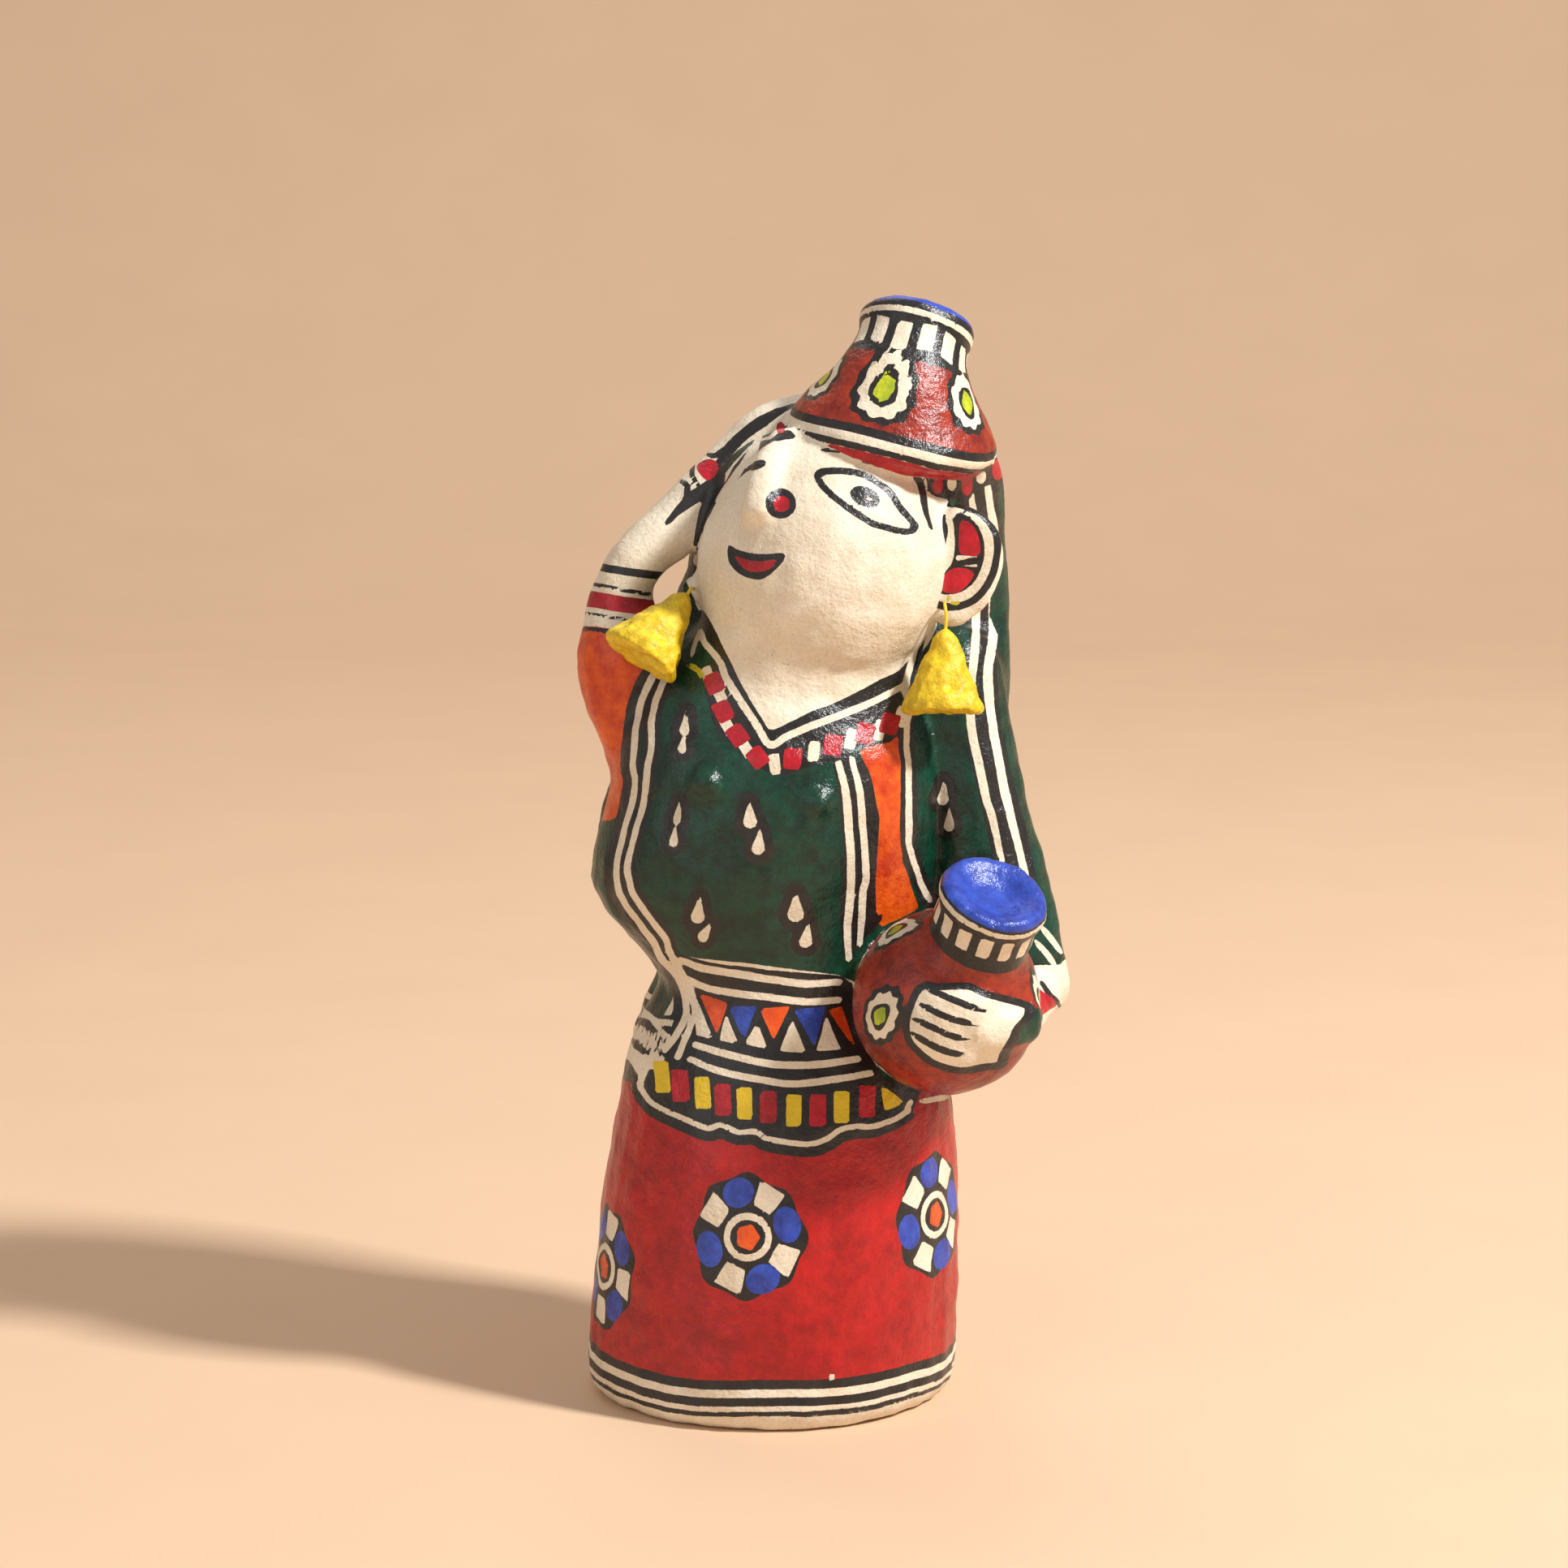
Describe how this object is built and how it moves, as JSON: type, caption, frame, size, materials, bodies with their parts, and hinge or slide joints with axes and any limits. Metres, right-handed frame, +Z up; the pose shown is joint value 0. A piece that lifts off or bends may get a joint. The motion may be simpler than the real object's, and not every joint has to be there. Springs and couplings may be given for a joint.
{
  "type": "papier-mache figure",
  "caption": "Standing painted papier-mache water carrier with a pot on her head, a pot held on her hip and hanging cone earrings.",
  "frame": {"origin": "middle of the flat underside that the figure stands on", "axes": "+Z up through the figure, her front towards -Y, her left side with the hip pot towards +X"},
  "size_m": [0.1337, 0.1175, 0.3],
  "materials": {
    "painted_pulp": "paper pulp painted by hand in green, red, rust, orange, cream and black, under a glossy varnish",
    "yellow_pulp": "rough crumpled paper pulp painted yellow",
    "painted_wire": "thin wire under yellow paint"
  },
  "bodies": {
    "root": {"figure": "painted_pulp", "left_earring": "yellow_pulp", "right_earring": "yellow_pulp", "left_earring_wire": "painted_wire", "right_earring_wire": "painted_wire"}
  },
  "joints": []
}
